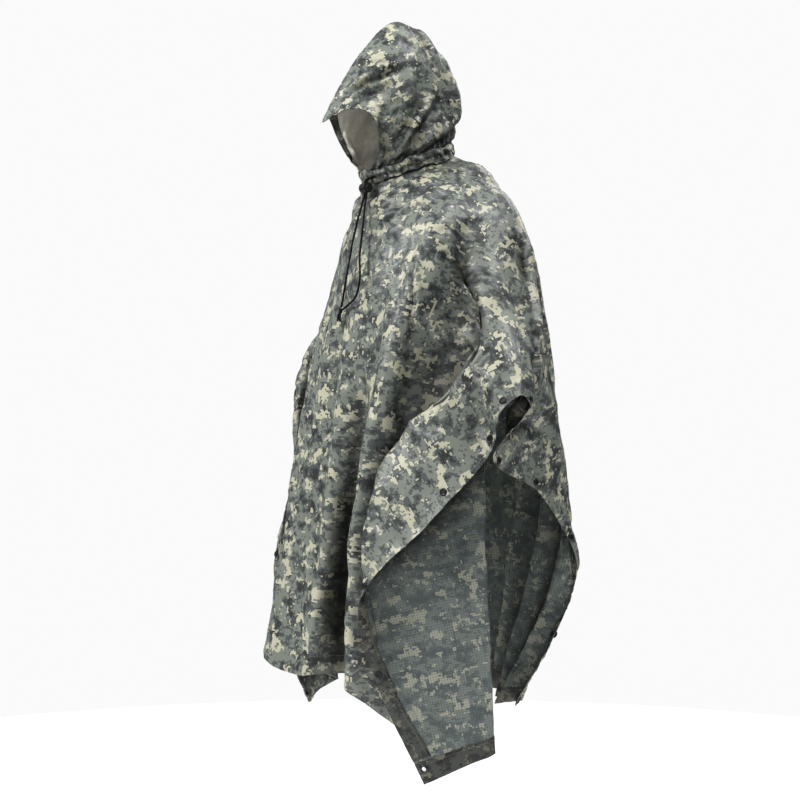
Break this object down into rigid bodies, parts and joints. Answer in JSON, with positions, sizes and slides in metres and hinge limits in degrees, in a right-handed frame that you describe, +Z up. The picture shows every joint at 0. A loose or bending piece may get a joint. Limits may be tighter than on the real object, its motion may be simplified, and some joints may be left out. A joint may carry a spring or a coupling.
{
  "type": "rain poncho",
  "caption": "Hooded rain poncho of two draped panels, open at the sides, with snapped edges and a drawcord at the neck, in its worn shape.",
  "frame": {"origin": "on the shoulder line, midway between the shoulders, where the wearer carries the poncho", "axes": "+Z up along the garment, +X to the wearer's left, the wearer faces -Y"},
  "size_m": [0.964, 0.509, 1.5612],
  "materials": {
    "outer_cloth": "slightly glossy coated cloth",
    "facing_cloth": "slightly glossy coated cloth",
    "black_snap": "satin",
    "dark_grommet": "satin",
    "black_cord": "matt braid",
    "black_plastic": "matt"
  },
  "bodies": {
    "root": {"back_hem_facing": "facing_cloth", "back_left_edge_facing": "facing_cloth", "back_left_grommet_inner": "dark_grommet", "back_left_grommet_outer": "dark_grommet", "back_left_snap_cap_1": "black_snap", "back_left_snap_cap_2": "black_snap", "back_left_snap_cap_3": "black_snap", "back_left_snap_cap_4": "black_snap", "back_left_snap_cap_5": "black_snap", "back_left_snap_socket_1": "black_snap", "back_left_snap_socket_2": "black_snap", "back_left_snap_socket_3": "black_snap", "back_left_snap_socket_4": "black_snap", "back_left_snap_socket_5": "black_snap", "back_panel": "outer_cloth", "back_right_edge_facing": "facing_cloth", "back_right_grommet_inner": "dark_grommet", "back_right_grommet_outer": "dark_grommet", "back_right_snap_cap_1": "black_snap", "back_right_snap_cap_2": "black_snap", "back_right_snap_cap_3": "black_snap", "back_right_snap_cap_4": "black_snap", "back_right_snap_cap_5": "black_snap", "cord_far": "black_cord", "cord_knot": "black_cord", "cord_lock_body": "black_plastic", "cord_lock_button": "black_plastic", "cord_near": "black_cord", "cord_tail_far": "black_cord", "cord_tail_near": "black_cord", "front_hem_facing": "facing_cloth", "front_left_edge_facing": "facing_cloth", "front_left_grommet_inner": "dark_grommet", "front_left_grommet_outer": "dark_grommet", "front_left_snap_cap_1": "black_snap", "front_left_snap_cap_2": "black_snap", "front_left_snap_cap_3": "black_snap", "front_left_snap_cap_4": "black_snap", "front_left_snap_cap_5": "black_snap", "front_left_snap_socket_1": "black_snap", "front_left_snap_socket_2": "black_snap", "front_left_snap_socket_3": "black_snap", "front_left_snap_socket_4": "black_snap", "front_left_snap_socket_5": "black_snap", "front_panel": "outer_cloth", "front_right_edge_facing": "facing_cloth", "front_right_grommet_inner": "dark_grommet", "front_right_grommet_outer": "dark_grommet", "front_right_snap_cap_1": "black_snap", "front_right_snap_cap_2": "black_snap", "front_right_snap_cap_3": "black_snap", "front_right_snap_cap_4": "black_snap", "front_right_snap_cap_5": "black_snap", "hood_left": "outer_cloth", "hood_right": "outer_cloth", "nape_loop": "facing_cloth", "neck_casing": "outer_cloth"}
  },
  "joints": []
}
